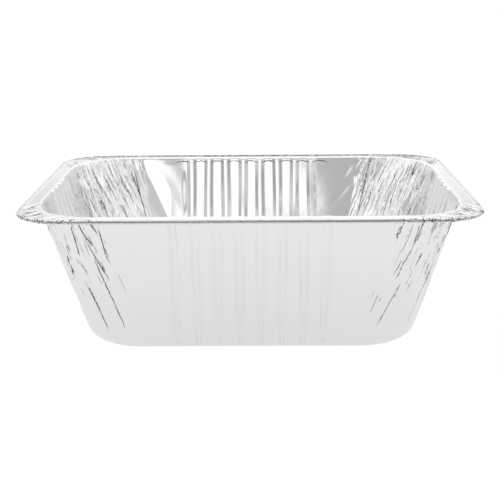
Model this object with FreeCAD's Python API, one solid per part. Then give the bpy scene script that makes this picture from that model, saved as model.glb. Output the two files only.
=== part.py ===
import FreeCAD, Part
import math
import os

from FreeCAD import Vector

# Half-size extra-deep food pan, pressed from one sheet of aluminium foil.
# The origin is the middle of the underside, +X runs along the long side and +Z is up.

# Overall size, outside the rolled rim
rim_length = 324.0
rim_width = 264.0
pan_height = 106.0

# Sheet
gauge = 0.1

# Rolled rim and flat flange
rim_corner_radius = 37.0
bead_diameter = 3.8
roll_end_deg = 330.0
roll_flats_per_quarter = 3
roll_lead = 0.5
flange_width = 12.4
flange_drop = 0.8

# Walls
wall_lean_deg = 16.2
opening_corner_radius = 45.0
base_corner_radius = 41.3
base_edge_radius = 14.6
base_edge_steps = 4

# Stiffening ribs pressed inward in the middle of each wall
rib_pitch = 14.9
rib_depth = 2.0
rib_crest_width = 2.4
rib_flank_width = 2.9
rib_run_out = 7.0
long_wall_ribs = 8
end_wall_ribs = 4

# Gathers that take up the spare foil at each corner
gathers_per_corner = 15
gather_depth = 2.8
gather_mid_share = 0.5

# Raised stiffening bead round the base
base_bead_inset = 9.0
base_bead_height = 1.6
base_bead_crest = 3.0
base_bead_flank = 2.4

# Four corners closer than this to one plane make one flat facet
flat_within = 1e-7

wall_lean = math.radians(wall_lean_deg)
flange_height = pan_height - flange_drop
bead_radius = bead_diameter / 2

# The flange meets the rolled rim where its face crosses the roll
roll_start = math.asin((bead_radius - flange_drop) / bead_radius)
roll_inset = bead_radius + bead_radius * math.cos(roll_start) + roll_lead


def wall_inset(height):
    """How far the plain wall stands in from the rim's outer edge at a height."""
    return flange_width + (flange_height - height) * math.tan(wall_lean)


def wall_corner_radius(height):
    """Corner radius of the plain wall, which widens evenly from base to opening."""
    rise = opening_corner_radius - base_corner_radius
    return base_corner_radius + rise * height / flange_height


class Level:
    """One ring round the pan: a height, an inset, a slope and how far the features stand out."""

    def __init__(self, height, inset, slope, ribs=0.0, gathers=0.0):
        self.height = height
        self.inset = inset
        self.slope = slope
        self.ribs = ribs
        self.gathers = gathers
        extra = inset - wall_inset(height)
        self.radius = wall_corner_radius(height) - extra


def base_edge_levels():
    """Rings of the rounded edge between base and wall, from the wall down to the base."""
    sweep = math.pi / 2 - wall_lean
    reach = base_edge_radius * math.tan(sweep / 2)
    axis_inset = wall_inset(0) + reach
    rings = []
    for step in range(base_edge_steps + 1):
        turn = wall_lean + sweep * step / base_edge_steps
        height = base_edge_radius * (1 - math.sin(turn))
        inset = axis_inset - base_edge_radius * math.cos(turn)
        rings.append(Level(height, inset, math.pi / 2 - turn))
    return rings


def wall_level(height, ribs=0.0, gathers=0.0):
    return Level(height, wall_inset(height), math.pi / 2 - wall_lean, ribs, gathers)


def base_levels(edge_inset):
    """Rings of the raised bead pressed into the flat base, from outside to inside."""
    start = edge_inset + base_bead_inset
    crest = start + base_bead_flank
    fall = crest + base_bead_crest
    end = fall + base_bead_flank
    return [
        Level(0, start, 0),
        Level(base_bead_height, crest, 0),
        Level(base_bead_height, fall, 0),
        Level(0, end, 0),
    ]


def pan_levels(top_height):
    """All rings from the opening down the wall, round the edge and over the base."""
    edge = base_edge_levels()
    foot = edge[0].height
    full_rib = foot + rib_run_out
    middle = full_rib + gather_mid_share * (flange_height - full_rib)
    rings = [wall_level(top_height, 1, 1)]
    for height in (middle, full_rib):
        rise = (height - foot) / (flange_height - foot)
        rings.append(wall_level(height, 1, rise))
    return rings + edge + base_levels(edge[-1].inset)


def rib_stations(count):
    """Distance along a wall and share of the full depth at each bend of its ribs."""
    stations = []
    half_crest = rib_crest_width / 2
    half_rib = half_crest + rib_flank_width
    for number in range(count):
        middle = (number - (count - 1) / 2) * rib_pitch
        stations.append((middle - half_rib, 0))
        stations.append((middle - half_crest, 1))
        stations.append((middle + half_crest, 1))
        stations.append((middle + half_rib, 0))
    return stations


def gather_share(number, corner, rise):
    """Depth of one fold: uneven from fold to fold, and growing from the foot to the rim."""
    unevenness = 0.7 + 0.3 * math.sin(2.4 * number + 1.7 * corner)
    growth = rise ** (1.0 + 0.5 * (number % 2))
    return unevenness * growth


def section(level):
    """Points of the foil round one ring, counterclockwise from the long wall at -Y."""
    points = []
    half_length = rim_length / 2 - level.inset
    half_width = rim_width / 2 - level.inset
    sides = [
        (half_length, half_width, long_wall_ribs),
        (half_width, half_length, end_wall_ribs),
    ]
    for corner in range(4):
        half_run, half_across, count = sides[corner % 2]
        turn = corner * math.pi / 2
        along = Vector(math.cos(turn), math.sin(turn), 0)
        inward = Vector(-math.sin(turn), math.cos(turn), 0)
        for station, share in rib_stations(count):
            depth = rib_depth * share * level.ribs
            points.append(along * station + inward * (depth - half_across))
        center = along * (half_run - level.radius) - inward * (half_across - level.radius)
        folds = 2 * gathers_per_corner
        for fold in range(folds + 1):
            angle = math.pi / 2 * fold / folds
            outward = along * math.sin(angle) - inward * math.cos(angle)
            depth = 0.0
            if fold % 2:
                depth = gather_depth * gather_share(fold // 2, corner, level.gathers)
            points.append(center + outward * (level.radius - depth))
    return points


def inset_section(points, distance):
    """The same ring moved inward by a distance, square to each of its straight runs."""
    moved = []
    for index, point in enumerate(points):
        before = point - points[index - 1]
        after = points[(index + 1) % len(points)] - point
        normal_before = Vector(-before.y, before.x, 0).normalize()
        normal_after = Vector(-after.y, after.x, 0).normalize()
        spread = 1 + normal_before.dot(normal_after)
        moved.append(point + (normal_before + normal_after) * (distance / spread))
    return moved


def ring(level, inner):
    """Points of one ring on the outer or the inner face of the foil."""
    points = section(level)
    height = level.height
    if inner:
        points = inset_section(points, gauge * math.sin(level.slope))
        height = height + gauge * math.cos(level.slope)
    return [Vector(point.x, point.y, height) for point in points]


def facet(*corners):
    return Part.Face(Part.makePolygon(list(corners) + [corners[0]]))


def band(upper, lower):
    """Facets between two rings: flat, or creased along the shorter diagonal where they twist."""
    faces = []
    for index in range(len(upper)):
        a = upper[index - 1]
        b = upper[index]
        c = lower[index]
        d = lower[index - 1]
        normal = (b - a).cross(d - a).normalize()
        if abs(normal.dot(c - a)) < flat_within:
            faces.append(facet(a, b, c, d))
        elif (a - c).Length < (b - d).Length:
            faces.append(facet(a, b, c))
            faces.append(facet(a, c, d))
        else:
            faces.append(facet(a, b, d))
            faces.append(facet(b, c, d))
    return faces


def skin(inner):
    """One face of the foil, from the opening's edge down and over the base."""
    top = flange_height - gauge
    if inner:
        top = flange_height - gauge * math.sin(wall_lean)
    rings = [ring(level, inner) for level in pan_levels(top)]
    faces = []
    for upper, lower in zip(rings, rings[1:]):
        faces = faces + band(upper, lower)
    faces.append(facet(*rings[-1]))
    return rings[0], faces


def rim_path(inset, height):
    """Rounded rectangle that runs parallel to the rim's outer edge."""
    radius = rim_corner_radius - inset
    edges = []
    for corner in range(4):
        half_run = (rim_length, rim_width)[corner % 2] / 2
        half_across = (rim_width, rim_length)[corner % 2] / 2
        turn = corner * math.pi / 2
        along = Vector(math.cos(turn), math.sin(turn), 0)
        inward = Vector(-math.sin(turn), math.cos(turn), 0)
        run = along * (half_run - rim_corner_radius)
        side = inward * (inset - half_across)
        lift = Vector(0, 0, height)
        center = run - inward * (half_across - rim_corner_radius) + lift
        diagonal = (along - inward).normalize()
        start = center - inward * radius
        end = center + along * radius
        edges.append(Part.LineSegment(side - run + lift, start).toShape())
        edges.append(Part.Arc(start, center + diagonal * radius, end).toShape())
    return Part.Wire(edges)


def flange_ring(opening, height):
    """Flat face between the opening and the line where the rim starts to roll over."""
    hole = Part.makePolygon(opening + [opening[0]])
    outline = Part.Face(rim_path(roll_inset, height))
    return outline.cut(Part.Face(hole)).Faces


def pan_body():
    """Base, walls and flange as one closed solid of foil."""
    outer_opening, outer_faces = skin(False)
    inner_opening, inner_faces = skin(True)
    faces = outer_faces + inner_faces
    faces = faces + flange_ring(outer_opening, flange_height - gauge)
    faces = faces + flange_ring(inner_opening, flange_height)
    edge = rim_path(roll_inset, flange_height - gauge).extrude(Vector(0, 0, gauge))
    faces = faces + edge.Faces
    shell = Part.Shell(faces)
    shell.sewShape()
    body = Part.Solid(Part.Shell(shell.Faces))
    if body.Volume < 0:
        body.reverse()
    return body.removeSplitter()


def roll_angles():
    """Bends of the roll, from the flange over the top and the outermost line to its free edge."""
    step = math.pi / 2 / roll_flats_per_quarter
    first = math.floor(roll_start / step) + 1
    last = math.floor(math.radians(roll_end_deg) / step)
    return [roll_start] + [step * number for number in range(first, last + 1)]


def bead_profile(across):
    """Cut through the rolled rim: the foil climbs off the flange, turns out, down and back under."""
    center = Vector(0, bead_radius - across, pan_height - bead_radius)
    outside = [Vector(0, roll_inset - across, flange_height)]
    inside = [Vector(0, roll_inset - across, flange_height - gauge)]
    for angle in roll_angles():
        spoke = Vector(0, math.cos(angle), math.sin(angle))
        outside.append(center + spoke * bead_radius)
        inside.append(center + spoke * (bead_radius - gauge))
    return facet(*(outside + inside[::-1]))


def rolled_rim():
    """Rim bead: a straight roll along each side and a turned one round each corner."""
    pieces = []
    up = Vector(0, 0, 1)
    for corner in range(4):
        half_run = (rim_length, rim_width)[corner % 2] / 2
        half_across = (rim_width, rim_length)[corner % 2] / 2
        run = half_run - rim_corner_radius
        profile = bead_profile(half_across)
        straight = profile.translated(Vector(-run, 0, 0)).extrude(Vector(2 * run, 0, 0))
        axis = Vector(run, rim_corner_radius - half_across, 0)
        turned = profile.translated(Vector(run, 0, 0)).revolve(axis, up, 90)
        for piece in (straight, turned):
            piece.rotate(Vector(0, 0, 0), up, 90 * corner)
            pieces.append(piece)
    return pieces[0].fuse(pieces[1:])


def foil_pan():
    pan = pan_body().fuse(rolled_rim()).removeSplitter()
    return pan.Solids[0]


os.makedirs("parts", exist_ok=True)
pan = foil_pan()
print("foil_pan", pan.isValid(), len(pan.Faces), "faces", round(pan.Volume, 1), "mm3", pan.BoundBox)
pan.exportStep("parts/foil_pan.step")
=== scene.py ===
import math
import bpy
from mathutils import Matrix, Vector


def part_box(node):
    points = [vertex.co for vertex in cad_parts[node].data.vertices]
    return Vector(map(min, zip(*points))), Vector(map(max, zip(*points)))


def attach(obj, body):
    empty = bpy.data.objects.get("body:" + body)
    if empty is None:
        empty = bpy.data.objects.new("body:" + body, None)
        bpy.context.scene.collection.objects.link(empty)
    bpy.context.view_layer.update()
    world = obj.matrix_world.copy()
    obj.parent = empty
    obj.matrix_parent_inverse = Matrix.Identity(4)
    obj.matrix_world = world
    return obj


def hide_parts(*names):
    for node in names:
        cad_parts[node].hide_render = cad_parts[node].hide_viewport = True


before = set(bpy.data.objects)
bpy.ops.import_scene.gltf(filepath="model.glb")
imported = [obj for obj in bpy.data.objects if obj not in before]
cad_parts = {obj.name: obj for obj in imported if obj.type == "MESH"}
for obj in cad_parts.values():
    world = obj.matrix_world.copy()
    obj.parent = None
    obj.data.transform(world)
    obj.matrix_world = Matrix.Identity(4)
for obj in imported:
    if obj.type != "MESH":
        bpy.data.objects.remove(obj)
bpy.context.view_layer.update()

from types import SimpleNamespace

import bpy
import numpy as np
from bpy.props import FloatProperty, FloatVectorProperty, IntProperty
from mathutils import Matrix, Vector

bl_info = {
    "name": "Foil food pan",
    "version": (1, 0, 0),
    "blender": (4, 5, 0),
    "location": "3D View > Sidebar > Foil pan",
    "description": "A deep pressed foil pan with ribbed walls, gathered corners and a rolled rim",
    "category": "Object",
}

MM = 0.001

# Zones of the pan's rows, from the middle of the base to the free edge of the rolled rim
BASE, EDGE, LOW_WALL, WALL, TURN, FLANGE, BEAD = range(7)

# Grid of the sheet: columns round the pan, and rows over the base's edge, the walls, the flange and the roll
CORNER_COLUMNS = 200
PANEL_COLUMNS = 12
MARGIN_COLUMNS = 34
MARGIN_SHARE = 0.60
EDGE_ROWS = 7
WALL_ROWS = 18
TOP_ROWS = 26
TOP_BAND = 42.0 * MM
TURN_ROWS = 5
FLANGE_ROWS = 7
ROLL_ROWS = 16

# Details of the shape that the sizes a user would change leave open
BEND = 1.2 * MM
BASE_BEAD_INSET = 9.0 * MM
BASE_BEAD_HEIGHT = 1.6 * MM
GATHER_MARGIN = 12.0 * MM
CRIMP_MARGIN = 34.0 * MM
ROLL_END = math.radians(330)

# Base: scales of the rows inside its bead, and steps across the bead in mm, each with its share of the height
BASE_SCALES = (0.04, 0.2, 0.4, 0.6, 0.8)
BASE_BEAD_CUT = ((8.1, 0), (7.0, 0.35), (5.9, 0.95), (4.0, 1.0), (2.1, 0.95), (1.0, 0.35), (-0.1, 0))

# Cells of the crumples, along and up the sheet. On the roll, up is an angle.
DRIFT_CELL = (21 * MM, 45 * MM)
GATHER_CELL = (2.6 * MM, 21 * MM)
FINE_GATHER_CELL = (1.2 * MM, 10 * MM)
WRINKLE_CELL = (3.6 * MM, 8 * MM)
PINCH_CELL = (1.9 * MM, 1.3)
RIPPLE_CELL = (4.5 * MM, 1.5)
SEAM_SHADE_CELL = (17 * MM, 1.0)

# Sizes of the relief
RIB_SWAY = 0.30 * MM
WALL_SWELL = 0.22 * MM
WALL_SWELL_LENGTH = 60 * MM
BASE_SWELL = 0.12 * MM
BASE_SWELL_LENGTH = 50 * MM
WRINKLE_HEIGHT = 0.45 * MM
PINCH_DEPTH = 0.30 * MM
RIPPLE_DEPTH = 0.07 * MM
LONG_PLEAT_DEPTH = 0.40 * MM
SHORT_PLEAT_BAND = 62 * MM
FLANGE_PLEATS = 22

# Soft dents in the plain panels: side, place along it, height, half width, half length, lean and depth.
# Lengths in these tables are in mm. Sides 0 to 3 face -Y, +X, +Y and -X, and each corner follows its side.
DENTS = (
    (2, -112, 70, 34, 90, 0.0, -1.4),
    (2, -88, 93, 3.8, 9, -0.65, -0.42),
    (2, -80, 77, 3.2, 8, -0.85, -0.20),
    (0, -82, 60, 7.0, 20, 0.20, 0.22),
    (0, 84, 56, 6.0, 18, -0.15, 0.22),
    (1, 40, 66, 6.0, 18, 0.10, 0.30),
    (3, -42, 62, 6.0, 20, -0.10, 0.30),
)

# Soft folds in the plain panels: side, place and height of the tip, lean, direction that the sheet
# rises in, slope beside the fold's line, its width and the height over which it grows
FOLDS = (
    (2, 95.6, 103, 0.47, 1, 0.17, 15, 24),
    (2, 88.0, 112, 0.52, -1, 0.15, 12, 42),
    (2, 71.0, 96, 0.02, -1, 0.12, 6, 34),
)

# Long pleats of the front corners: corner, share of its arc at the foot, foot and head, lean and mark, the
# strength of the painted shade along the pleat
LONG_PLEATS = (
    (3, 0.90, 60, 88, -0.23, 1.0),
    (3, 0.90, 14, 78, -0.08, 0.9),
    (3, 0.68, 13, 57, -0.12, 1.0),
    (3, 0.45, 54, 75, 0.08, 1.0),
    (3, 0.97, 71, 98, 0.06, 1.0),
    (3, 0.67, 73, 100, 0.09, 1.0),
    (0, 0.10, 18, 56, 0.20, 1.0),
    (0, 0.52, 17, 54, 0.13, 1.9),
    (0, 0.13, 56, 79, 0.15, 1.0),
    (0, 0.43, 51, 77, 0.13, 1.0),
    (0, 0.20, 73, 100, -0.06, 1.0),
)

# Sideways lean of the gathers at each corner, and the short pleats among them: how many, the longest in mm,
# and how they crowd to the top
GATHER_LEANS = (0.12, -0.18, 0.28, -0.10)
SHORT_PLEATS = ((60, 20, 2.2), (96, 24, 1.2), (96, 24, 1.2), (40, 20, 2.2))

# The photograph's camera, in the frame's axes: place in metres, angles in radians
PHOTO_PIXELS = 500
FOCAL_PIXELS = 1160.8
SENSOR = 36.0
CAMERA_PLACE = (0.0065, -0.8830, 0.2724)
CAMERA_YAW = 0.0083
CAMERA_PITCH = 0.2447
CAMERA_ROLL = -0.0071

# Lamps: name, place, target, width, height, strength, and whether the foil mirrors it
LAMPS = (
    ("key", (-0.36, -2.6, 1.0), (-0.36, 0, 0.08), 1.1, 0.85, 0.68, True),
    ("left", (-2.2, 0.6, 0.85), (0, 0.5, 0.1), 1.8, 1.3, 0.86, False),
    ("right", (2.2, 0.6, 0.85), (0, 0.5, 0.1), 1.8, 1.3, 0.86, False),
    ("top", (0.0, 0.4, 2.2), (0, 0, 0), 1.8, 1.8, 1.3, False),
)

# Greys of the room before the pan and beyond it, from straight down at 0 to straight up at 1
BEFORE = ((0.0, 0.50), (0.35, 0.22), (0.50, 0.18), (0.56, 0.32), (0.67, 0.46), (0.88, 0.40), (0.96, 0.95))
BEYOND = ((0.0, 0.85), (0.50, 0.95), (0.66, 1.0), (1.0, 1.0))

# Two pale screens before the pan: where they stand, from -X at 0 to +X at 1, and how high
SCREEN_SIDES = (
    (0.10, 0.0), (0.14, 1.0), (0.33, 1.0), (0.35, 0.0), (0.63, 0.0), (0.66, 1.0), (0.86, 1.0), (0.90, 0.0)
)
SCREEN_HEIGHTS = ((0.54, 0.0), (0.60, 1.0), (0.76, 1.0), (0.84, 0.0))


# Sizes a user would change

def length_prop(name, description, default):
    return FloatProperty(name=name, description=description, default=default, min=0, unit="LENGTH")


def colour_prop(name, description, default):
    return FloatVectorProperty(name=name, description=description, default=default, size=3, subtype="COLOR")


class FoilPanSizes(bpy.types.PropertyGroup):
    """Sizes of the pan, in metres. The outside of the rim comes from the frame."""

    rim_corner: length_prop("Rim corner", "Corner radius of the rim's outer edge", 0.037)
    bead: length_prop("Bead", "Thickness of the rolled rim", 0.0038)
    flange: length_prop("Flange", "From the rim's outer edge to the wall", 0.0124)
    flange_drop: length_prop("Flange drop", "From the top of the rolled rim down to the flange", 0.0008)
    opening_corner: length_prop("Opening corner", "Corner radius where the wall meets the flange", 0.045)
    base_corner: length_prop("Base corner", "Corner radius of the walls carried down to the table", 0.0413)
    base_edge: length_prop("Base edge", "Radius of the rounded edge between base and wall", 0.0146)
    gauge: length_prop("Gauge", "Thickness of the foil", 0.0001)
    lean: FloatProperty(
        name="Lean", description="How far the walls lean out", default=math.radians(16.2), subtype="ANGLE"
    )
    rib_pitch: length_prop("Rib pitch", "From one rib to the next", 0.0149)
    rib_depth: length_prop("Rib depth", "How far a rib stands into the pan", 0.002)
    rib_crest: length_prop("Rib crest", "Width of the flat top of a rib", 0.0024)
    rib_flank: length_prop("Rib flank", "Width of one side of a rib", 0.0029)
    long_ribs: IntProperty(name="Long wall ribs", description="Ribs in each long wall", default=8, min=0)
    end_ribs: IntProperty(name="End wall ribs", description="Ribs in each end wall", default=4, min=0)
    gather_depth: length_prop("Gather depth", "Depth of the largest corner folds at the rim", 0.0024)
    seed: IntProperty(name="Seed", description="Chance pattern of the creases", default=7)


class FoilPanFinish(bpy.types.PropertyGroup):
    """Finish of the foil, colour of the painted shade in its creases, and colour of the floor."""

    colour: colour_prop("Foil", "Colour of the bare foil", (0.905, 0.905, 0.91))
    # Painted shade: the dark colour that creases, seams, pleat lines and crimps are painted towards
    crease_shade: colour_prop("Crease", "Colour inside a closed crease", (0.06, 0.06, 0.06))
    roughness: FloatProperty(
        name="Roughness", description="Roughness of smooth foil", default=0.11, min=0, max=1, subtype="FACTOR"
    )
    floor: colour_prop("Floor", "Colour of the floor", (0.86, 0.86, 0.86))


# Small helpers for surfaces

def smooth(t):
    """3t^2 - 2t^3, held at 0 below 0 and at 1 above 1."""
    t = np.clip(t, 0, 1)
    return t * t * (3 - 2 * t)


class Creases:
    """Crumple pattern: random heights on a triangular lattice, joined by flat facets.

    At (u, v) the height is the mean of the heights at the three corners of the lattice triangle
    that holds the point, weighted by how near each corner is, so every triangle is flat and
    every edge between triangles is a fold line. u and v count cells along and up the sheet, and the
    drift, in cells, lets the pattern waver.
    """

    SIZE = 1024

    def __init__(self, seed, cell):
        random = np.random.default_rng(seed)
        self.cell = cell
        self.heights = random.uniform(-1, 1, (self.SIZE, self.SIZE))

    def pick(self, i, j):
        return self.heights[np.mod(i, self.SIZE), np.mod(j, self.SIZE)]

    def __call__(self, along, up, drift=0):
        v = up / self.cell[1]
        u = along / self.cell[0] + drift + 0.5 * v
        i = np.floor(u).astype(int)
        j = np.floor(v).astype(int)
        fu = u - i
        fv = v - j
        upper = fu + fv > 1
        near = np.where(upper, self.pick(i + 1, j + 1), self.pick(i, j))
        wu = np.where(upper, 1 - fv, fu)
        wv = np.where(upper, 1 - fu, fv)
        return (
            near * (1 - wu - wv)
            + self.pick(i + 1, j) * wu
            + self.pick(i, j + 1) * wv
        )


class Waves:
    """Slow swell through space: a sum of sine waves of random direction, length and phase."""

    def __init__(self, seed, length, count=14):
        random = np.random.default_rng(seed)
        heading = random.normal(size=(count, 3))
        heading /= np.linalg.norm(heading, axis=1, keepdims=True)
        rate = 2 * math.pi / (length * random.uniform(0.7, 1.6, count))
        self.waves = heading * rate[:, None]
        self.phase = random.uniform(0, 2 * math.pi, count)

    def __call__(self, point):
        waves = np.sin(point @ self.waves.T + self.phase)
        return waves.sum(axis=-1) / math.sqrt(len(self.phase) / 2)


class Pleats:
    """Pressed-down pleats: the sheet steps in across a line and eases back beside it.

    A pleat's line runs from a foot to a head. At t, the share of the way up, it stands at its
    place + lean x height above the foot, and its strength is smooth(5t) x smooth(4(1 - t)).
    With s the distance past the line over the ease, the step is strength x depth x (1 - s) for
    s from 0 to 1. Beside the step come the distance past the nearest line and that line's mark,
    the strength of a painted shade along the line, which fades out within the reach.
    """

    EASE = 2.4 * MM
    REACH = 1.2 * MM

    def __init__(self):
        self.pleats = []

    def add(self, place, foot, head, lean, depth, mark):
        self.pleats.append((place, foot, head, lean, depth, mark))

    def __call__(self, far, z):
        step = 0 * far * z
        nearest = step + 1
        marks = 0 * step
        for place, foot, head, lean, depth, mark in self.pleats:
            t = (z - foot) / (head - foot)
            strength = smooth(5 * t) * smooth(4 * (1 - t))
            past = far - place - lean * (z - foot)
            side = 1 if depth > 0 else -1
            share = side * past / self.EASE
            step += np.where((share >= 0) & (share < 1), strength * abs(depth) * (1 - share), 0)
            near = strength * mark * np.clip(2 * (1 - np.abs(past) / self.REACH), 0, 1)
            nearest = np.where(near > marks, past, nearest)
            marks = np.maximum(marks, near)
        return step, nearest, marks


def bend_rows(zone, turns, inset, height, radius):
    """Rows round a bend: at the turn t the foil faces (cos t, -sin t), one radius from the bend's axis.

    A radius below 0 puts the axis outside the foil.
    """
    facing = [(math.cos(turn), -math.sin(turn)) for turn in turns]
    return [(inset - radius * across, height + radius * up, across, up, zone, 1) for across, up in facing]


# The pan as one grid: rows from the middle of the base to the rim's free edge, and columns round the pan

class PanSheet:
    """Rows and columns of the pan's sheet of foil, in metres, in the frame's own axes."""

    def __init__(self, sizes):
        self.s = sizes
        low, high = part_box("foil_pan")
        self.half_length = (high[0] - low[0]) / 2
        self.half_width = (high[1] - low[1]) / 2
        self.height = high[2]
        self.top = self.height - sizes.flange_drop
        self.bead = sizes.bead / 2
        self.roll_start = math.asin((self.bead - sizes.flange_drop) / self.bead)
        self.roll_inset = self.bead * (1 + math.cos(self.roll_start))
        self.slope = math.tan(sizes.lean)
        self.make_columns()
        self.make_rows()
        self.outer, self.out, self.run = self.plain()
        self.far, self.round = self.opening_distance()
        self.grid = self.spread()
        self.layers = {"pleat_past": 0 * self.run, "pleat_shade": 0 * self.run}
        self.surface()
        self.normal = self.normals(self.outer)
        self.inner = self.outer - self.normal * sizes.gauge
        self.inner[..., 2] = np.minimum(self.inner[..., 2], self.height)

    def wall_inset(self, height):
        return self.s.flange + (self.top - height) * self.slope

    def rib_middles(self, count):
        return (np.arange(count) - (count - 1) / 2) * self.s.rib_pitch

    def each_rib(self, extra=0):
        """Whether a rib is in a long wall, the columns of those walls' straight runs, and its middle."""
        for is_long, sides, count in ((True, (0, 2), self.s.long_ribs), (False, (1, 3), self.s.end_ribs)):
            for middle in self.rib_middles(count + extra):
                yield is_long, self.straight_of(*sides), middle

    def straight_of(self, *sides):
        """True at the columns on the straight runs of the given sides."""
        return (np.isin(self.side, sides) & (self.angle == 0))[None, :]

    def arc(self, corner):
        """Distances round the opening at which a corner starts and ends."""
        columns = np.flatnonzero((self.side == corner) & (self.angle > 0))
        return self.far[columns[0]], self.far[columns[-1]]

    def rib_places(self, count):
        """Places across the ribs of one side: close together at each bend, and three in each valley."""
        s = self.s
        half = s.rib_crest / 2
        bends = np.array([-half - s.rib_flank, -half, half, half + s.rib_flank])
        near = (bends[:, None] + np.array([-0.4, 0, 0.4]) * MM).ravel()
        middles = self.rib_middles(count)
        valleys = middles[1:] - s.rib_pitch / 2
        valley = np.array([-0.3, 0, 0.3]) * (s.rib_pitch - s.rib_crest - 2 * s.rib_flank)
        places = [(middles[:, None] + near[None, :]).ravel(), (valleys[:, None] + valley[None, :]).ravel()]
        return np.sort(np.concatenate(places))

    def make_columns(self):
        """Columns are dense over ribs and corners and sparse over the plain panels.

        Each column has a side 0 to 3, a place along the straight run, a signed share of the panel
        between the outermost rib and the corner, and an angle round the corner. The first column
        stands in the middle of the end wall at -X, where the sheet is plain.
        """
        side, place, panel, angle = [], [], [], []
        turn = np.linspace(0, math.pi / 2, CORNER_COLUMNS + 1)
        plain = np.linspace(0, 1 - MARGIN_SHARE, PANEL_COLUMNS + 1)[1:]
        margin = np.linspace(1 - MARGIN_SHARE, 1, MARGIN_COLUMNS + 1)[1:-1]
        line = np.concatenate([plain, margin])
        for number in range(4):
            ribs = self.rib_places((self.s.long_ribs, self.s.end_ribs)[number % 2])
            groups = [
                (np.full(len(line), ribs[0]), -line[::-1], 0 * line),
                (ribs, 0 * ribs, 0 * ribs),
                (np.full(len(line), ribs[-1]), line, 0 * line),
                (np.full(len(turn), ribs[-1]), 1 + 0 * turn, turn),
            ]
            for where, share, corner in groups:
                side.append(np.full(len(where), number))
                place.append(where)
                panel.append(share)
                angle.append(corner)
        columns = [np.concatenate(values) for values in (side, place, panel, angle)]
        start = np.flatnonzero((columns[0] == 3) & (columns[1] >= 0) & (columns[2] == 0))[0]
        self.side, self.place, self.panel, self.angle = (np.roll(values, -start) for values in columns)

    def make_rows(self):
        """Rows over the base and its edge, up the wall, over the flange and round the roll.

        Each row has an inset from the rim's outer edge, a height, the direction of the foil's
        outer face there, across and up, the zone of the pan that it is in, and a scale about the
        middle, which is below 1 only on the inner part of the base.
        """
        rows = self.base_rows() + self.wall_rows() + self.rim_rows()
        columns = (np.array(values, float) for values in zip(*rows))
        self.inset, self.z, self.across, self.up, self.zone, self.scale = columns
        self.foot = self.z[self.last_row(EDGE)]
        self.wall_top = self.z[self.last_row(WALL)]
        self.radius = self.row_radii()
        reach = self.inset + (1 - self.scale) * (self.half_width - self.inset)
        self.climb = np.concatenate([[0], np.cumsum(np.hypot(np.diff(reach), np.diff(self.z)))])

    def last_row(self, zone):
        return np.flatnonzero(self.zone <= zone)[-1]

    def base_rows(self):
        """Rows of the flat base, of its raised bead and of the rounded edge round it."""
        s = self.s
        axis = self.wall_inset(0) + s.base_edge * math.tan((math.pi / 2 - s.lean) / 2)
        ring = axis + BASE_BEAD_INSET
        inmost = ring + BASE_BEAD_CUT[0][0] * MM
        rows = [(inmost, 0, 0, -1, BASE, scale) for scale in BASE_SCALES]
        rows += [(ring + step * MM, BASE_BEAD_HEIGHT * rise, 0, -1, BASE, 1) for step, rise in BASE_BEAD_CUT]
        turns = np.linspace(math.pi / 2, s.lean, EDGE_ROWS)
        return rows + bend_rows(EDGE, turns, axis, s.base_edge, s.base_edge)

    def wall_rows(self):
        """Rows of the wall, closer together near its top, and of the tight turn into the flange."""
        s = self.s
        foot = s.base_edge * (1 - math.sin(s.lean))
        under = self.top - s.gauge
        top = under - BEND * (1 - math.sin(s.lean))
        low = np.linspace(foot, top - TOP_BAND, WALL_ROWS + 1)[1:]
        high = np.linspace(top - TOP_BAND, top, TOP_ROWS + 1)[1:]
        rows = []
        for zone, heights in ((LOW_WALL, low), (WALL, high)):
            rows += [(self.wall_inset(z), z, math.cos(s.lean), -math.sin(s.lean), zone, 1) for z in heights]
        turns = np.linspace(s.lean, math.pi / 2, TURN_ROWS + 1)[1:]
        return rows + bend_rows(TURN, turns, self.bend_inset(), under - BEND, -BEND)

    def bend_inset(self):
        """Inset of the axis that the foil turns about between the wall and the flange."""
        lean = self.s.lean
        return self.s.flange + BEND * ((1 - math.sin(lean)) * self.slope - math.cos(lean))

    def rim_rows(self):
        """Rows of the flat flange and of the roll."""
        start = self.bend_inset()
        under = self.top - self.s.gauge
        shares = np.linspace(0, 1, FLANGE_ROWS + 1)[1:]
        rows = [(start + (self.roll_inset - start) * share, under, 0, -1, FLANGE, 1) for share in shares]
        turns = np.linspace(self.roll_start, ROLL_END, ROLL_ROWS + 1)[1:]
        return rows + bend_rows(BEAD, turns, self.bead, self.height - self.bead, self.s.gauge - self.bead)

    def row_radii(self):
        """Corner radius of each row: the wall's own up to the opening, then blending to the rim's."""
        s = self.s
        wall = s.base_corner + (s.opening_corner - s.base_corner) / self.top * self.z
        wall = wall - np.maximum(self.inset - self.wall_inset(self.z), 0)
        share = np.clip((s.flange - self.inset) / (s.flange - self.bead), 0, 1)
        flange = (1 - share) * s.opening_corner + share * (s.rim_corner - self.inset)
        return np.where(self.zone >= TURN, flange, wall)

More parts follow.
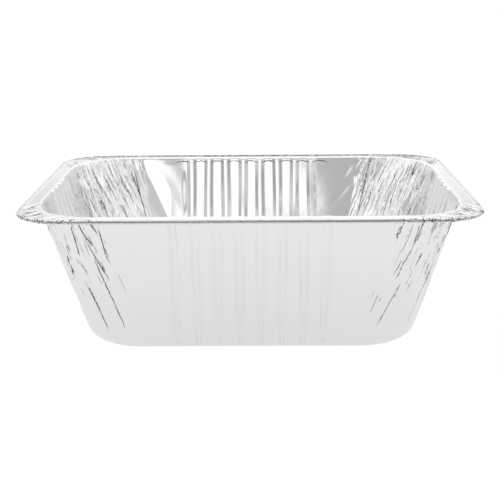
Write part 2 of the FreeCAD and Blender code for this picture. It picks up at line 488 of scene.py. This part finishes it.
    def plain(self):
        """The pan without ribs or folds: points, outward directions, and places along the sides.

        A straight column stands at its place along the side, and a corner column on its row's
        corner circle: run + r sin a along the side and -across + r (1 - cos a) in from it.
        """
        side = self.side[None, :] * (math.pi / 2)
        even = (self.side % 2 == 0)[None, :]
        radius = self.radius[:, None]
        half_run = np.where(even, self.half_length, self.half_width) - self.inset[:, None] - radius
        half_across = np.where(even, self.half_width, self.half_length) - self.inset[:, None]
        place, panel = self.place[None, :], self.panel[None, :]
        run = place + panel * (half_run - np.abs(place))
        angle = self.angle[None, :] + 0 * radius
        x = (run + radius * np.sin(angle)) * self.scale[:, None]
        y = (radius * (1 - np.cos(angle)) - half_across) * self.scale[:, None]
        cos, sin = np.cos(side), np.sin(side)
        point = np.stack([x * cos - y * sin, x * sin + y * cos, self.z[:, None] + 0 * x], axis=-1)
        out_x = np.sin(angle) * cos + np.cos(angle) * sin
        out_y = np.sin(angle) * sin - np.cos(angle) * cos
        return point, np.stack([out_x, out_y], axis=-1), run

    def opening_distance(self):
        """Distance of each column round the opening, in metres, and the whole way round."""
        ring = self.outer[self.last_row(WALL), :, :2]
        step = np.linalg.norm(np.roll(ring, -1, axis=0) - ring, axis=1)
        far = np.concatenate([[0], np.cumsum(step)])
        return far[:-1], far[-1]

    def spread(self):
        """Values of the rows and columns, and where the parts of the pan are, over the whole grid."""
        flat = 0 * self.run
        grid = SimpleNamespace(far=self.far + flat, away=self.inset[:, None] + flat)
        for name in ("z", "zone", "climb", "across", "up"):
            setattr(grid, name, getattr(self, name)[:, None] + flat)
        grid.rise = np.clip((grid.z - self.foot) / (self.top - self.foot), 0, 1)
        grid.turn = np.arctan2(-grid.across, -grid.up)
        grid.on_wall = (grid.zone >= LOW_WALL) & (grid.zone <= TURN)
        grid.on_flange = grid.zone == FLANGE
        grid.on_roll = grid.zone == BEAD
        grid.corner = self.corner_share(GATHER_MARGIN) + flat
        grid.crimped = self.corner_share(CRIMP_MARGIN) * grid.on_roll
        return grid

    def corner_share(self, margin):
        """1 round a corner, falling to 0 along the straight run within the margin."""
        even = self.side % 2 == 0
        half = np.where(even, self.half_length, self.half_width) - self.s.flange - self.s.opening_corner
        gap = (1 - np.abs(self.panel)) * (half - np.abs(self.place))
        gap = np.where((self.angle > 0) | (np.abs(self.panel) == 1), 0, gap)
        return smooth(1 - gap / margin)

    def surface(self):
        """Give the plain pan its relief, and lay down the values that the material reads."""
        g = self.grid
        inward = self.shape_walls()
        wrinkle_shade = self.shape_flange()
        self.shape_base()
        # Painted shade at the crimps of the roll
        crimped = self.shape_roll()
        # Painted shade: dark marks at sharp bends of the gathers, along rib edges and feet, at the roll's
        # seams, on the roll's outer face as a painted dark reflection, at crimps and in flange wrinkles
        creases = [self.bend_shade(inward), self.rib_shade(), self.seam_shade(), crimped, wrinkle_shade]
        self.layers["crease_shade"] = np.maximum.reduce(creases)
        self.layers["gathered"] = g.corner * np.where(g.on_wall, smooth(2 * g.rise), 0.6 * g.on_flange)
        # Where dark specks of painted shade and fine bumps go: the crimped roll and the flange corners
        self.layers["speck_shade_and_bump"] = np.maximum(g.crimped, 0.22 * g.on_roll) + 0.15 * g.corner * g.on_flange

    def lay_pleats(self, where, past, marks):
        """Keep the distance past the nearest pleat, in mm, and the strength of its painted shade for the
        material.
        """
        self.layers["pleat_past"] = np.where(where, past / MM, self.layers["pleat_past"])
        self.layers["pleat_shade"] = np.where(where, marks, self.layers["pleat_shade"])

    def fade(self, share, lowest):
        """The share from the lowest zone to the wall's top, running out over the turn and the flange."""
        g = self.grid
        run_out = smooth((g.away - self.s.flange + 1.6 * MM) / (1.5 * MM))
        share = np.where(g.zone >= TURN, run_out, share)
        return np.where((g.zone < lowest) | g.on_roll, 0, share)

    def shape_walls(self):
        """Move the foil in by its ribs, dents, folds, gathers and pleats and a slow swell, and say how far.

        They move it level with the table, so the flange keeps its own height.
        """
        g = self.grid
        inward = self.ribs() + self.dents() * g.on_wall
        folded, dulled = self.folds()
        inward += folded * g.on_wall * smooth((self.top - g.z) / (6 * MM))
        self.layers["dulled"] = dulled * g.on_wall
        self.sway()
        step, past, pleat_shade = self.pleats()(g.far, g.z)
        # Painted shade along the pleats in the corners, and along an arch at the top of each valley between
        # the ribs
        self.lay_pleats(g.zone < FLANGE, past, g.corner * pleat_shade * g.on_wall)
        self.lay_pleats(g.on_wall & (g.corner == 0), *self.arch_shade())
        inward += self.gathers()
        inward += g.corner * step * g.on_wall
        swell = Waves(self.s.seed + 3, WALL_SWELL_LENGTH)(self.outer)
        inward += WALL_SWELL * swell * smooth(g.rise * 4) * smooth((1 - g.rise) * 6) * g.on_wall
        level = np.where(g.on_roll | (g.zone == BASE), 0, inward)
        self.outer[..., :2] -= self.out * level[..., None]
        return inward

    def ribs(self):
        """How far the ribs stand in: flat crests with straight, slightly uneven flanks."""
        s, g = self.s, self.grid
        depth = 0 * self.run
        for _, columns, middle in self.each_rib():
            share = np.clip((s.rib_crest / 2 + s.rib_flank - np.abs(self.run - middle)) / s.rib_flank, 0, 1)
            depth = np.where(columns, np.maximum(depth, share), depth)
        depth = depth * s.rib_depth * self.fade(smooth((g.z - self.foot + 3 * MM) / (9 * MM)), EDGE)
        return depth * (1 + 0.10 * np.sin(g.z / (13 * MM) + self.run / (9 * MM)))

    def sway(self):
        """Let the ribs waver along the wall: sway x sin(z / 16 mm + run / 6 mm), shifted on each side."""
        g = self.grid
        on_ribs = ((self.panel == 0) & (self.angle == 0))[None, :] * g.on_wall
        sway = on_ribs * RIB_SWAY * np.sin(g.z / (16 * MM) + self.run / (6 * MM) + 1.9 * self.side[None, :])
        self.outer[..., 0] += np.cos(self.side * math.pi / 2)[None, :] * sway
        self.outer[..., 1] += np.sin(self.side * math.pi / 2)[None, :] * sway

    def dents(self):
        """Soft dents: depth x e^-(a^2 + b^2), with a across the dent and b along it, in half sizes."""
        z, run = self.grid.z / MM, self.run / MM
        depth = 0 * run
        for side, place, height, half_width, half_length, lean, deep in DENTS:
            along = z - height
            across = (run - place - lean * along) / half_width
            dent = deep * np.exp(-(across**2) - (along / half_length) ** 2)
            depth += np.where(self.straight_of(side), dent, 0)
        return depth * MM

    def folds(self):
        """Soft folds: on one side of a line the sheet rises by slope x d x e^-(d^2 / 2 w^2).

        Here d is the distance from the line and w the fold's width. The fold grows below its tip
        and keeps clear of the ribs. Beside the rise comes how dull the crumpled foil is there.
        """
        z, run = self.grid.z / MM, self.run / MM
        past_ribs = smooth((np.abs(self.run) - np.abs(self.place)[None, :]) / (4 * MM))
        depth, dulled = 0 * run, 0 * run
        for side, place, tip, lean, direction, slope, width, growth in FOLDS:
            away = direction * (run - place - lean * (z - tip))
            grown = past_ribs * smooth((tip - z) / growth)
            inside = self.straight_of(side) & (away > 0)
            beside = np.where(inside, grown * np.exp(-((away / width) ** 2) / 2), 0)
            depth += slope * away * beside
            dulled = np.maximum(dulled, beside)
        return depth * MM, dulled

    def gathers(self):
        """Gathers of the corners: coarse and fine crumples that lean and drift, deepest near the rim."""
        g, seed = self.grid, self.s.seed
        corner = np.where((self.angle == 0) & (self.panel < 0), self.side - 1, self.side) % 4
        lean = np.array(GATHER_LEANS)[corner]
        leant = g.far - lean[None, :] * (g.z - self.top)
        drift = 1.2 * Creases(seed + 2, DRIFT_CELL)(g.far, g.z)
        fold = 0.34 * Creases(seed, GATHER_CELL)(leant, g.z, drift)
        fold = fold + 0.16 * Creases(seed + 1, FINE_GATHER_CELL)(leant, g.z, 2 * drift)
        grown = self.fade(smooth(1.2 * g.rise + 0.04) ** 0.8, LOW_WALL)
        return g.corner * grown * self.s.gather_depth * (0.35 + fold)

    def pleats(self):
        """Long pleats at chosen places in the front corners, and short ones at random in all four."""
        pleats = Pleats()
        random = np.random.default_rng(self.s.seed + 20)
        for corner, share, foot, head, lean, mark in LONG_PLEATS:
            first, last = self.arc(corner)
            pleats.add(first + share * (last - first), foot * MM, head * MM, lean, LONG_PLEAT_DEPTH, mark)
        for corner, (count, longest, crowding) in enumerate(SHORT_PLEATS):
            first, last = self.arc(corner)
            for place in np.linspace(first - 0.5 * GATHER_MARGIN, last + 0.5 * GATHER_MARGIN, count):
                place = place + random.uniform(-1.5, 1.5) * MM
                length = random.uniform(5, longest) * MM
                head = self.wall_top - random.uniform(0, 1) ** crowding * SHORT_PLEAT_BAND
                foot = max(head - length, self.foot)
                depth = random.uniform(0.10, 0.32) * MM * random.choice([-1, 1])
                lean = GATHER_LEANS[corner] + random.uniform(-0.10, 0.10)
                pleats.add(place, foot, head, lean, depth, random.uniform(0.25, 0.8))
        return pleats

    def arch_shade(self):
        """Painted shade along a crumpled arch at the top of each valley: the distance above each arch, and
        the strength of its painted shade.

        With u from -1 at one rib's middle to 1 at the next, an arch stands 2.7 mm + 2.0 mm x u^2
        below the flange.
        """
        past, marks = 1 + 0 * self.run, 0 * self.run
        for is_long, columns, middle in self.each_rib(extra=1):
            share = (self.run - middle) / (self.s.rib_pitch / 2)
            inside = columns & (np.abs(share) < 1)
            past = np.where(inside, self.grid.z - self.top + 2.7 * MM + 2.0 * MM * share**2, past)
            # The painted shade is stronger on the long walls than on the end walls
            dark = 0.9 if is_long else 0.25
            marks = np.where(inside, dark * smooth(6 * (0.86 - np.abs(share))), marks)
        return past, marks

    def shape_flange(self):
        """Wrinkle the corners of the flange and press short pleats across them. Gives painted shade in the
        wrinkles' valleys.
        """
        g = self.grid
        wrinkle = Creases(self.s.seed + 4, WRINKLE_CELL)(g.far, g.away)
        share = g.corner * np.where(g.on_flange, smooth((self.s.flange - g.away) / (2 * MM)), 0)
        share = share * smooth((g.away - self.roll_inset) / (1.5 * MM) + 0.15)
        step, past, pleat_shade = self.flange_pleats()(g.far, g.climb)
        # Painted shade along the pleats across the flange
        self.lay_pleats(g.on_flange, past, g.corner * pleat_shade)
        self.outer[..., 2] += share * (WRINKLE_HEIGHT * (wrinkle - 0.15) - step)
        # Painted shade in the wrinkles' valleys
        return share * smooth((-wrinkle - 0.40) / 0.3) * 0.5

    def flange_pleats(self):
        """Short pleats across the flange of each corner."""
        pleats = Pleats()
        random = np.random.default_rng(self.s.seed + 30)
        low, high = self.climb[self.last_row(TURN)], self.climb[self.last_row(FLANGE)]
        for corner in range(4):
            for place in np.linspace(*self.arc(corner), FLANGE_PLEATS):
                place = place + random.uniform(-1.5, 1.5) * MM
                foot = low - random.uniform(0.5, 2.5) * MM
                head = high + random.uniform(-3.0, 1.5) * MM
                lean = random.uniform(-0.7, 0.7)
                depth = random.uniform(0.15, 0.40) * MM * random.choice([-1, 1])
                pleats.add(place, foot, head, lean, depth, random.uniform(0.3, 1.0))
        return pleats

    def shape_base(self):
        """Let the flat base inside its bead rise in a slow swell: height x (1 + swell), never below 0."""
        g = self.grid
        swell = Waves(self.s.seed + 6, BASE_SWELL_LENGTH)(self.outer)
        inside = (g.zone == BASE) * smooth((g.away - self.wall_inset(0) - 14 * MM) / (8 * MM))
        self.outer[..., 2] += inside * BASE_SWELL * (1 + np.clip(swell, -1, 1))

    def shape_roll(self):
        """Crimp the roll at the corners and ripple it all round. Gives painted shade at the crimps."""
        g, seed = self.grid, self.s.seed
        pinch = 0.5 + 0.5 * Creases(seed + 5, PINCH_CELL)(g.far, g.turn)
        ripple = 1 + Creases(seed + 5, RIPPLE_CELL)(g.far, g.turn)
        step, past, pleat_shade = self.roll_pleats()(g.far, g.climb)
        # Painted shade along the short crimps across the roll
        self.lay_pleats(g.on_roll, past, g.crimped * pleat_shade)
        dent = g.crimped * (PINCH_DEPTH * pinch + step) + g.on_roll * RIPPLE_DEPTH * ripple
        self.outer[..., :2] += self.out * (g.across * dent)[..., None]
        self.outer[..., 2] += g.up * dent
        # Painted shade at the crimps
        return g.crimped * smooth((pinch - 0.78) / 0.12) * 0.5

    def roll_pleats(self):
        """Short crimps across the roll at each corner and a little way on along the sides."""
        pleats = Pleats()
        random = np.random.default_rng(self.s.seed + 40)
        low = self.climb[self.last_row(FLANGE)]
        for corner in range(4):
            first, last = self.arc(corner)
            place = first - CRIMP_MARGIN
            while place < last + CRIMP_MARGIN:
                foot = low + random.uniform(-1, 3) * MM
                head = foot + random.uniform(3, 7) * MM
                depth = random.uniform(0.15, 0.45) * MM * random.choice([-1, 1])
                pleats.add(place, foot, head, random.uniform(-0.5, 0.5), depth, random.uniform(0.3, 1.0))
                place += random.uniform(1.2, 3.2) * MM
        return pleats

    def bend_shade(self, inward):
        """Painted shade in the creases where the gathers bend sharply, from the change of their slope at each
        column.
        """
        g = self.grid
        gap = np.diff(np.append(self.far, self.round))
        slope = (np.roll(inward, -1, axis=1) - inward) / gap
        bend = smooth((np.abs(slope - np.roll(slope, 1, axis=1)) - 0.50) / 0.85)
        # Painted shade: stronger on the back half of the pan than on the front half
        return bend * g.corner * g.on_wall * np.where(self.outer[..., 1] > 0, 0.80, 0.30)

    def rib_shade(self):
        """Painted shade: faint dark lines at the bends along the edges of each rib's crest, strongest towards
        its foot.
        """
        z, zone = self.grid.z, self.grid.zone
        marks = 0 * self.run
        for _, columns, middle in self.each_rib():
            off = np.abs(np.abs(self.run - middle) - self.s.rib_crest / 2)
            mark = np.clip(1 - off / (0.5 * MM), 0, 1)
            marks = np.maximum(marks, np.where(columns, mark, 0))
        fade = smooth(1.15 - z / (0.75 * self.top)) * smooth(z / (6 * MM))
        foot = np.exp(-(((z - 7 * MM) / (3 * MM)) ** 2))
        return marks * (0.07 * fade + 0.10 * foot) * ((zone > BASE) & (zone <= WALL))

    def seam_shade(self):
        """Painted shade where the roll leaves the flange, darkest at the back, and a painted dark reflection
        on the roll's outer side.

        The painted reflection on the outer side is darkest at the front: a bell curve round 93 degrees of the
        roll's turn.
        The flange has painted shade beside the roll too, unevenly so.
        """
        g = self.grid
        back = self.outer[..., 1] / self.half_width
        at_back, at_front = smooth((back - 0.80) / 0.12), smooth((-back - 0.80) / 0.12)
        turned = np.degrees(g.turn)
        inner_seam_shade = (0.35 + 0.50 * at_back) * smooth((2 - turned) / 7)
        outer_painted_reflection = (0.12 + 0.40 * at_front) * np.exp(-(((turned - 93) / 29) ** 2))
        beside = smooth(1.2 + 3.6 * at_back - (g.away - self.roll_inset) / MM)
        uneven = 0.9 + 0.3 * Creases(self.s.seed + 5, SEAM_SHADE_CELL)(g.far, 0 * g.far)
        # Painted shade on the flange beside the roll
        on_flange = (0.22 + 0.43 * at_back) * beside * uneven
        return np.where(g.on_roll, inner_seam_shade + outer_painted_reflection, on_flange * g.on_flange)

    def normals(self, point):
        """Unit outward normals: the cross product of the steps to the next column and the next row."""
        along = np.roll(point, -1, axis=1) - np.roll(point, 1, axis=1)
        normal = np.cross(along, np.gradient(point, axis=0))
        return normal / np.maximum(np.linalg.norm(normal, axis=-1, keepdims=True), 1e-12)

    def mesh(self, name, first, last):
        """Closed foil of one stretch of rows: outer face, inner face one gauge in, and the edges between."""
        stretch = slice(first, last + 1)
        outer, inner = self.outer[stretch], self.inner[stretch]
        rows, columns = outer.shape[:2]
        index = np.arange(rows * columns).reshape(rows, columns)
        following = np.roll(index, -1, axis=1)
        shift = rows * columns
        quads = np.stack([index[:-1], following[:-1], following[1:], index[1:]], axis=-1).reshape(-1, 4)
        lower, upper = (
            np.stack([index[row], following[row], following[row] + shift, index[row] + shift], axis=-1)
            for row in (0, -1)
        )
        faces = [quads, quads[:, ::-1] + shift, upper]
        points = [outer.reshape(-1, 3), inner.reshape(-1, 3)]
        normals = [self.normal[stretch].reshape(-1, 3), -self.normal[stretch].reshape(-1, 3)]
        fans = []
        if first == 0:
            pole = np.full(columns, 2 * shift)
            points.append(np.array([outer[0].mean(axis=0), inner[0].mean(axis=0)]))
            normals.append(np.array([(0, 0, -1), (0, 0, 1)], float))
            fans.append(np.stack([following[0], index[0], pole], axis=-1))
            fans.append(np.stack([index[0] + shift, following[0] + shift, pole + 1], axis=-1))
        else:
            faces.append(lower[:, ::-1])
        faces = np.concatenate(faces)
        polygons = faces.tolist() + [face for fan in fans for face in fan.tolist()]
        mesh = bpy.data.meshes.new(name)
        mesh.from_pydata(np.concatenate(points).tolist(), [], polygons)
        mesh.polygons.foreach_set("use_smooth", np.ones(len(mesh.polygons), bool))
        self.lay_out(mesh, stretch)
        for label, values in self.layers.items():
            half = values[stretch].ravel()
            both = np.concatenate([half, half, np.zeros(len(mesh.vertices) - 2 * shift)])
            mesh.attributes.new(label, "FLOAT", "POINT").data.foreach_set("value", both.astype(np.float32))
        mesh.update()
        mesh.normals_split_custom_set_from_vertices(np.concatenate(normals).tolist())
        return mesh

    def lay_out(self, mesh, stretch):
        """UV map: metres round the opening and metres up the sheet, running on past the first column."""
        columns = len(self.far)
        climb = self.climb[stretch]
        shift = len(climb) * columns
        vertex = np.zeros(len(mesh.loops), np.int32)
        mesh.loops.foreach_get("vertex_index", vertex)
        place = vertex % shift
        u = np.where(vertex < 2 * shift, self.far[place % columns], 0)
        v = np.where(vertex < 2 * shift, climb[place // columns], 0)
        sizes = np.zeros(len(mesh.polygons), np.int32)
        mesh.polygons.foreach_get("loop_total", sizes)
        face = np.repeat(np.arange(len(sizes)), sizes)
        widest = np.zeros(len(sizes))
        np.maximum.at(widest, face, u)
        u = np.where((widest[face] > 0.9 * self.round) & (u < 0.1 * self.round), u + self.round, u)
        layer = mesh.uv_layers.new(name="sheet")
        layer.data.foreach_set("uv", np.stack([u, v], axis=-1).ravel().astype(np.float32))


# Shader expressions

class Value:
    """A node socket that Python's arithmetic builds Math nodes on."""

    def __init__(self, graph, socket):
        self.graph = graph
        self.socket = socket

    def math(self, operation, *others):
        settings = {"operation": operation}
        values = {number + 1: other for number, other in enumerate(others)}
        return self.graph.node("ShaderNodeMath", settings, {0: self, **values})

    def __add__(self, other):
        return self.math("ADD", other)

    def __sub__(self, other):
        return self.math("SUBTRACT", other)

    def __rsub__(self, other):
        return self.graph.node("ShaderNodeMath", {"operation": "SUBTRACT"}, {0: other, 1: self})

    def __mul__(self, other):
        return self.math("MULTIPLY", other)

    def __truediv__(self, other):
        return self.math("DIVIDE", other)

    def max(self, other):
        return self.math("MAXIMUM", other)

    def size(self):
        """The value without its sign."""
        return self.math("ABSOLUTE")

    def clamp(self):
        """Held between 0 and 1."""
        return self.graph.node("ShaderNodeClamp", {}, {"Value": self, "Min": 0.0, "Max": 1.0})


class Graph:
    """Node tree of one material, light or world."""

    def __init__(self, owner):
        owner.use_nodes = True
        self.tree = owner.node_tree
        self.tree.nodes.clear()

    def node(self, kind, settings=None, inputs=None, output=0):
        made = self.tree.nodes.new(kind)
        for name, value in (settings or {}).items():
            setattr(made, name, value)
        for name, value in (inputs or {}).items():
            if isinstance(value, Value):
                self.tree.links.new(value.socket, made.inputs[name])
            else:
                made.inputs[name].default_value = value
        return Value(self, made.outputs[output]) if made.outputs else made

    def layer(self, name):
        """The value that the mesh carries under the name."""
        return self.node("ShaderNodeAttribute", {"attribute_name": name}, output=2)

    def noise(self, vector, scale, detail):
        return self.node("ShaderNodeTexNoise", {}, {"Vector": vector, "Scale": scale, "Detail": detail})

    def cells(self, vector, scale):
        """Distance to the nearest of scattered points, in cells stretched by the scale along each axis."""
        stretched = self.node("ShaderNodeMapping", {}, {"Vector": vector, "Scale": scale})
        return self.node("ShaderNodeTexVoronoi", {}, {"Vector": stretched, "Scale": 1.0})

    def mix(self, share, first, second):
        """Colour that goes from the first to the second as the share goes from 0 to 1."""
        return self.node("ShaderNodeMix", {"data_type": "RGBA"}, {0: share, 6: first, 7: second}, output=2)

    def greys(self, share, stops):
        """Ramp of greys: each stop is a place from 0 to 1 and a brightness."""
        made = self.node("ShaderNodeValToRGB", {}, {"Fac": share})
        ramp = made.socket.node.color_ramp
        while len(ramp.elements) < len(stops):
            ramp.elements.new(0.5)
        for element, (place, grey) in zip(ramp.elements, stops):
            element.position = place
            element.color = (grey, grey, grey, 1)
        return made

    def finish_with(self, shader, kind="ShaderNodeOutputMaterial"):
        self.node(kind, {}, {"Surface": shader})


def foil_material(finish):
    """Bare foil: bright metal with fine gathers at the corners, painted shade in its closed creases and a
    varied polish.

    The sheet's own UV map is in metres, so the gathers are cells about 1.6 x 24 mm and 0.7 x 9 mm,
    and the heights are in mm.
    A pleat's line is painted dark, as painted shade, within 0.12 mm + 0.40 mm x its mark, on a line that
    wavers by noise.
    The painted shade of the other creases is broken up by the same fine noise that paints dark specks of
    shade on the crimped roll.
    """
    found = bpy.data.materials.get("pressed_foil")
    if found:
        return found
    material = bpy.data.materials.new("pressed_foil")
    graph = Graph(material)
    place = graph.node("ShaderNodeTexCoord", output=3)
    sheet = graph.node("ShaderNodeUVMap", {"uv_map": "sheet"})

    pleat_shade, speck_shade_and_bump = graph.layer("pleat_shade"), graph.layer("speck_shade_and_bump")
    past = (graph.layer("pleat_past") + (graph.noise(place, 420.0, 2.0) - 0.5) * 2.2).size()
    # Painted shade along each pleat's line
    line = ((1.0 - past / (pleat_shade * 0.40 + 0.12)) * 1.8).clamp() * (pleat_shade * 2.0).clamp()
    fine_noise = graph.noise(place, 850.0, 2.0)
    # Painted shade: dark specks on the crimped roll and the flange corners
    speck_shade = ((fine_noise - 0.60) * 14.0).clamp() * speck_shade_and_bump
    # Painted shade: the marks, pleat lines and specks that darken the foil, broken up by fine noise
    crease_shade = (graph.layer("crease_shade") * ((fine_noise - 0.5) * 3.5 + 0.95)).max(line).max(speck_shade)

    cells = graph.cells(sheet, (620.0, 42.0, 1.0))
    grains = graph.cells(sheet, (1450.0, 110.0, 1.0))
    height = (cells * 0.20 + grains * 0.04) * graph.layer("gathered")
    height = height + graph.noise(place, 260.0, 3.0) * 0.020 + graph.noise(place, 55.0, 2.0) * 0.050
    height = height + fine_noise * speck_shade_and_bump * 0.20
    relief = graph.node("ShaderNodeBump", {}, {"Strength": 1.0, "Distance": MM, "Height": height})

    # Painted shade: the foil's colour darkens towards the dark shade colour wherever the painted shade masks
    # say
    colour = graph.mix(crease_shade * 0.92, (*finish.colour, 1), (*finish.crease_shade, 1))
    dull = graph.noise(place, 35.0, 3.0) * 0.06 + crease_shade * 0.25 + graph.layer("dulled") * 0.16
    rough = dull + (finish.roughness - 0.03)
    inputs = {"Base Color": colour, "Metallic": 1.0, "Roughness": rough, "Normal": relief}
    graph.finish_with(graph.node("ShaderNodeBsdfPrincipled", {}, inputs))
    return material


def floor_material(finish):
    """Pale floor: white to the eye and in reflections, still darkened by the pan's shadow."""
    material = bpy.data.materials.new("studio_floor")
    graph = Graph(material)
    camera = graph.node("ShaderNodeLightPath", output="Is Camera Ray")
    glossy = graph.node("ShaderNodeLightPath", output="Is Glossy Ray")
    surface = graph.node("ShaderNodeBsdfDiffuse", {}, {"Color": (*finish.floor, 1)})
    mirrored = graph.node("ShaderNodeEmission", {}, {"Color": (1, 1, 1, 1), "Strength": 0.87})
    seen = graph.node("ShaderNodeEmission", {}, {"Color": (1, 1, 1, 1), "Strength": 1.05})
    lit = graph.node("ShaderNodeMixShader", {}, {0: glossy * 0.82, 1: surface, 2: mirrored})
    white = graph.node("ShaderNodeMixShader", {}, {0: camera * 0.92, 1: lit, 2: seen})
    under = graph.node("ShaderNodeNewGeometry", output=6)
    clear = graph.node("ShaderNodeBsdfTransparent")
    graph.finish_with(graph.node("ShaderNodeMixShader", {}, {0: under, 1: white, 2: clear}))
    return material


def studio_world():
    """White room behind and beside the pan, a grey one with pale screens before it, and white to the eye."""
    world = bpy.data.worlds.new("studio")
    bpy.context.scene.world = world
    graph = Graph(world)
    direction = {0: graph.node("ShaderNodeTexCoord", output=0)}
    sideways, back, up = (graph.node("ShaderNodeSeparateXYZ", {}, direction, output=axis) for axis in "XYZ")
    rise = up * 0.5 + 0.5
    behind = (back * 6.0 + 2.2).clamp()
    screens = graph.greys(sideways * 0.5 + 0.5, SCREEN_SIDES) * graph.greys(rise, SCREEN_HEIGHTS)
    before = graph.greys(rise, BEFORE) + screens * 0.42
    aside = ((sideways.size() - 0.14) * 22.0).clamp() * ((0.66 - rise) * 20.0).clamp()
    room = graph.mix(behind, before, graph.greys(rise, BEYOND) * (1.0 - aside * 0.26))
    camera = graph.node("ShaderNodeLightPath", output="Is Camera Ray")
    colour = graph.mix(camera, room, (1, 1, 1, 1))
    background = graph.node("ShaderNodeBackground", {}, {"Color": colour, "Strength": 1.1})
    graph.finish_with(background, "ShaderNodeOutputWorld")


def softbox(name, place, target, width, height, strength, mirrored):
    """Area lamp whose face has the same brightness whatever its size: power = pi x area x strength."""
    light = bpy.data.lights.new(name, "AREA")
    light.shape = "RECTANGLE"
    light.size = width
    light.size_y = height
    light.energy = strength * math.pi * width * height
    lamp = bpy.data.objects.new(name, light)
    lamp.visible_glossy = mirrored
    bpy.context.scene.collection.objects.link(lamp)
    aim = Vector(target) - Vector(place)
    lamp.matrix_world = Matrix.Translation(place) @ aim.to_track_quat("-Z", "Y").to_matrix().to_4x4()


def show(mesh, material):
    piece = bpy.data.objects.new(mesh.name, mesh)
    bpy.context.scene.collection.objects.link(piece)
    mesh.materials.append(material)
    return piece


# Operators

class Stretch:
    """Makes one closed stretch of the sheet, the piece, from the first to the last row of its zones."""

    def execute(self, context):
        sheet = PanSheet(context.scene.foil_pan_sizes)
        first, last = self.zones
        start = sheet.last_row(first - 1) if first > BASE else 0
        mesh = sheet.mesh(self.piece, start, sheet.last_row(last))
        piece = show(mesh, foil_material(context.scene.foil_pan_finish))
        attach(piece, "root")
        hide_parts("foil_pan")
        return {"FINISHED"}


class FOILPAN_OT_base(Stretch, bpy.types.Operator):
    """Make the flat base with its raised bead"""

    bl_idname = "foilpan.base"
    bl_label = "Base"
    piece, zones = "pan_base", (BASE, BASE)


class FOILPAN_OT_foot(Stretch, bpy.types.Operator):
    """Make the rounded edge of the base and the lower part of the walls"""

    bl_idname = "foilpan.foot"
    bl_label = "Foot"
    piece, zones = "pan_foot", (EDGE, LOW_WALL)


class FOILPAN_OT_walls(Stretch, bpy.types.Operator):
    """Make the upper part of the ribbed walls and gathered corners, up to the flange"""

    bl_idname = "foilpan.walls"
    bl_label = "Walls"
    piece, zones = "pan_walls", (WALL, TURN)


class FOILPAN_OT_rim(Stretch, bpy.types.Operator):
    """Make the flange and the rolled rim"""

    bl_idname = "foilpan.rim"
    bl_label = "Rim"
    piece, zones = "pan_rim", (FLANGE, BEAD)


class FOILPAN_OT_stage(bpy.types.Operator):
    """Make the floor, the lamps, the room and the camera"""

    bl_idname = "foilpan.stage"
    bl_label = "Floor, light and camera"

    def execute(self, context):
        self.floor(context)
        studio_world()
        for lamp in LAMPS:
            softbox(*lamp)
        self.camera(context)
        context.scene.view_settings.view_transform = "Standard"
        return {"FINISHED"}

    def floor(self, context):
        """Flat rectangle under the pan: x and y are the two parameters, and z is 0.

        It ends a short way before the pan, so the rolled rim mirrors the dark room beyond its edge.
        """
        reach, front = 6.0, -0.30
        corners = [(-reach, front, 0), (reach, front, 0), (reach, reach, 0), (-reach, reach, 0)]
        mesh = bpy.data.meshes.new("floor")
        mesh.from_pydata(corners, [], [(0, 1, 2, 3)])
        floor = show(mesh, floor_material(context.scene.foil_pan_finish))

    def camera(self, context):
        """Camera at the photograph's viewpoint: it looks along +Y, a little to the side, down and rolled."""
        yaw, pitch, roll = CAMERA_YAW, CAMERA_PITCH, CAMERA_ROLL
        right = Vector((math.cos(yaw), math.sin(yaw), 0))
        ahead = Vector((-math.sin(yaw) * math.cos(pitch), math.cos(yaw) * math.cos(pitch), -math.sin(pitch)))
        above = right.cross(ahead)
        turned_right = math.cos(roll) * right + math.sin(roll) * above
        turned_above = math.cos(roll) * above - math.sin(roll) * right
        data = bpy.data.cameras.new("camera")
        data.sensor_width = SENSOR
        data.lens = SENSOR * FOCAL_PIXELS / PHOTO_PIXELS
        camera = bpy.data.objects.new("camera", data)
        context.scene.collection.objects.link(camera)
        axes = Matrix((turned_right, turned_above, -ahead)).transposed()
        camera.matrix_world = Matrix.Translation(CAMERA_PLACE) @ axes.to_4x4()
        context.scene.camera = camera


class FOILPAN_PT_panel(bpy.types.Panel):
    """Lists the sizes, the finish and the operators"""

    bl_idname = "FOILPAN_PT_panel"
    bl_label = "Foil pan"
    bl_space_type = "VIEW_3D"
    bl_region_type = "UI"
    bl_category = "Foil pan"

    def draw(self, context):
        scene = context.scene
        for group in (scene.foil_pan_sizes, scene.foil_pan_finish):
            box = self.layout.box()
            for name in group.__annotations__:
                box.prop(group, name)
        for operator in OPERATORS:
            self.layout.operator(operator.bl_idname)


OPERATORS = (FOILPAN_OT_base, FOILPAN_OT_foot, FOILPAN_OT_walls, FOILPAN_OT_rim, FOILPAN_OT_stage)
GROUPS = {"foil_pan_sizes": FoilPanSizes, "foil_pan_finish": FoilPanFinish}
CLASSES = (*GROUPS.values(), *OPERATORS, FOILPAN_PT_panel)


def register():
    for each in CLASSES:
        bpy.utils.register_class(each)
    for name, group in GROUPS.items():
        setattr(bpy.types.Scene, name, bpy.props.PointerProperty(type=group))


def unregister():
    for name in GROUPS:
        delattr(bpy.types.Scene, name)
    for each in reversed(CLASSES):
        bpy.utils.unregister_class(each)


def main():
    register()
    bpy.ops.foilpan.stage()
    bpy.ops.foilpan.base()
    bpy.ops.foilpan.foot()
    bpy.ops.foilpan.walls()
    bpy.ops.foilpan.rim()


if __name__ == "__main__":
    main()
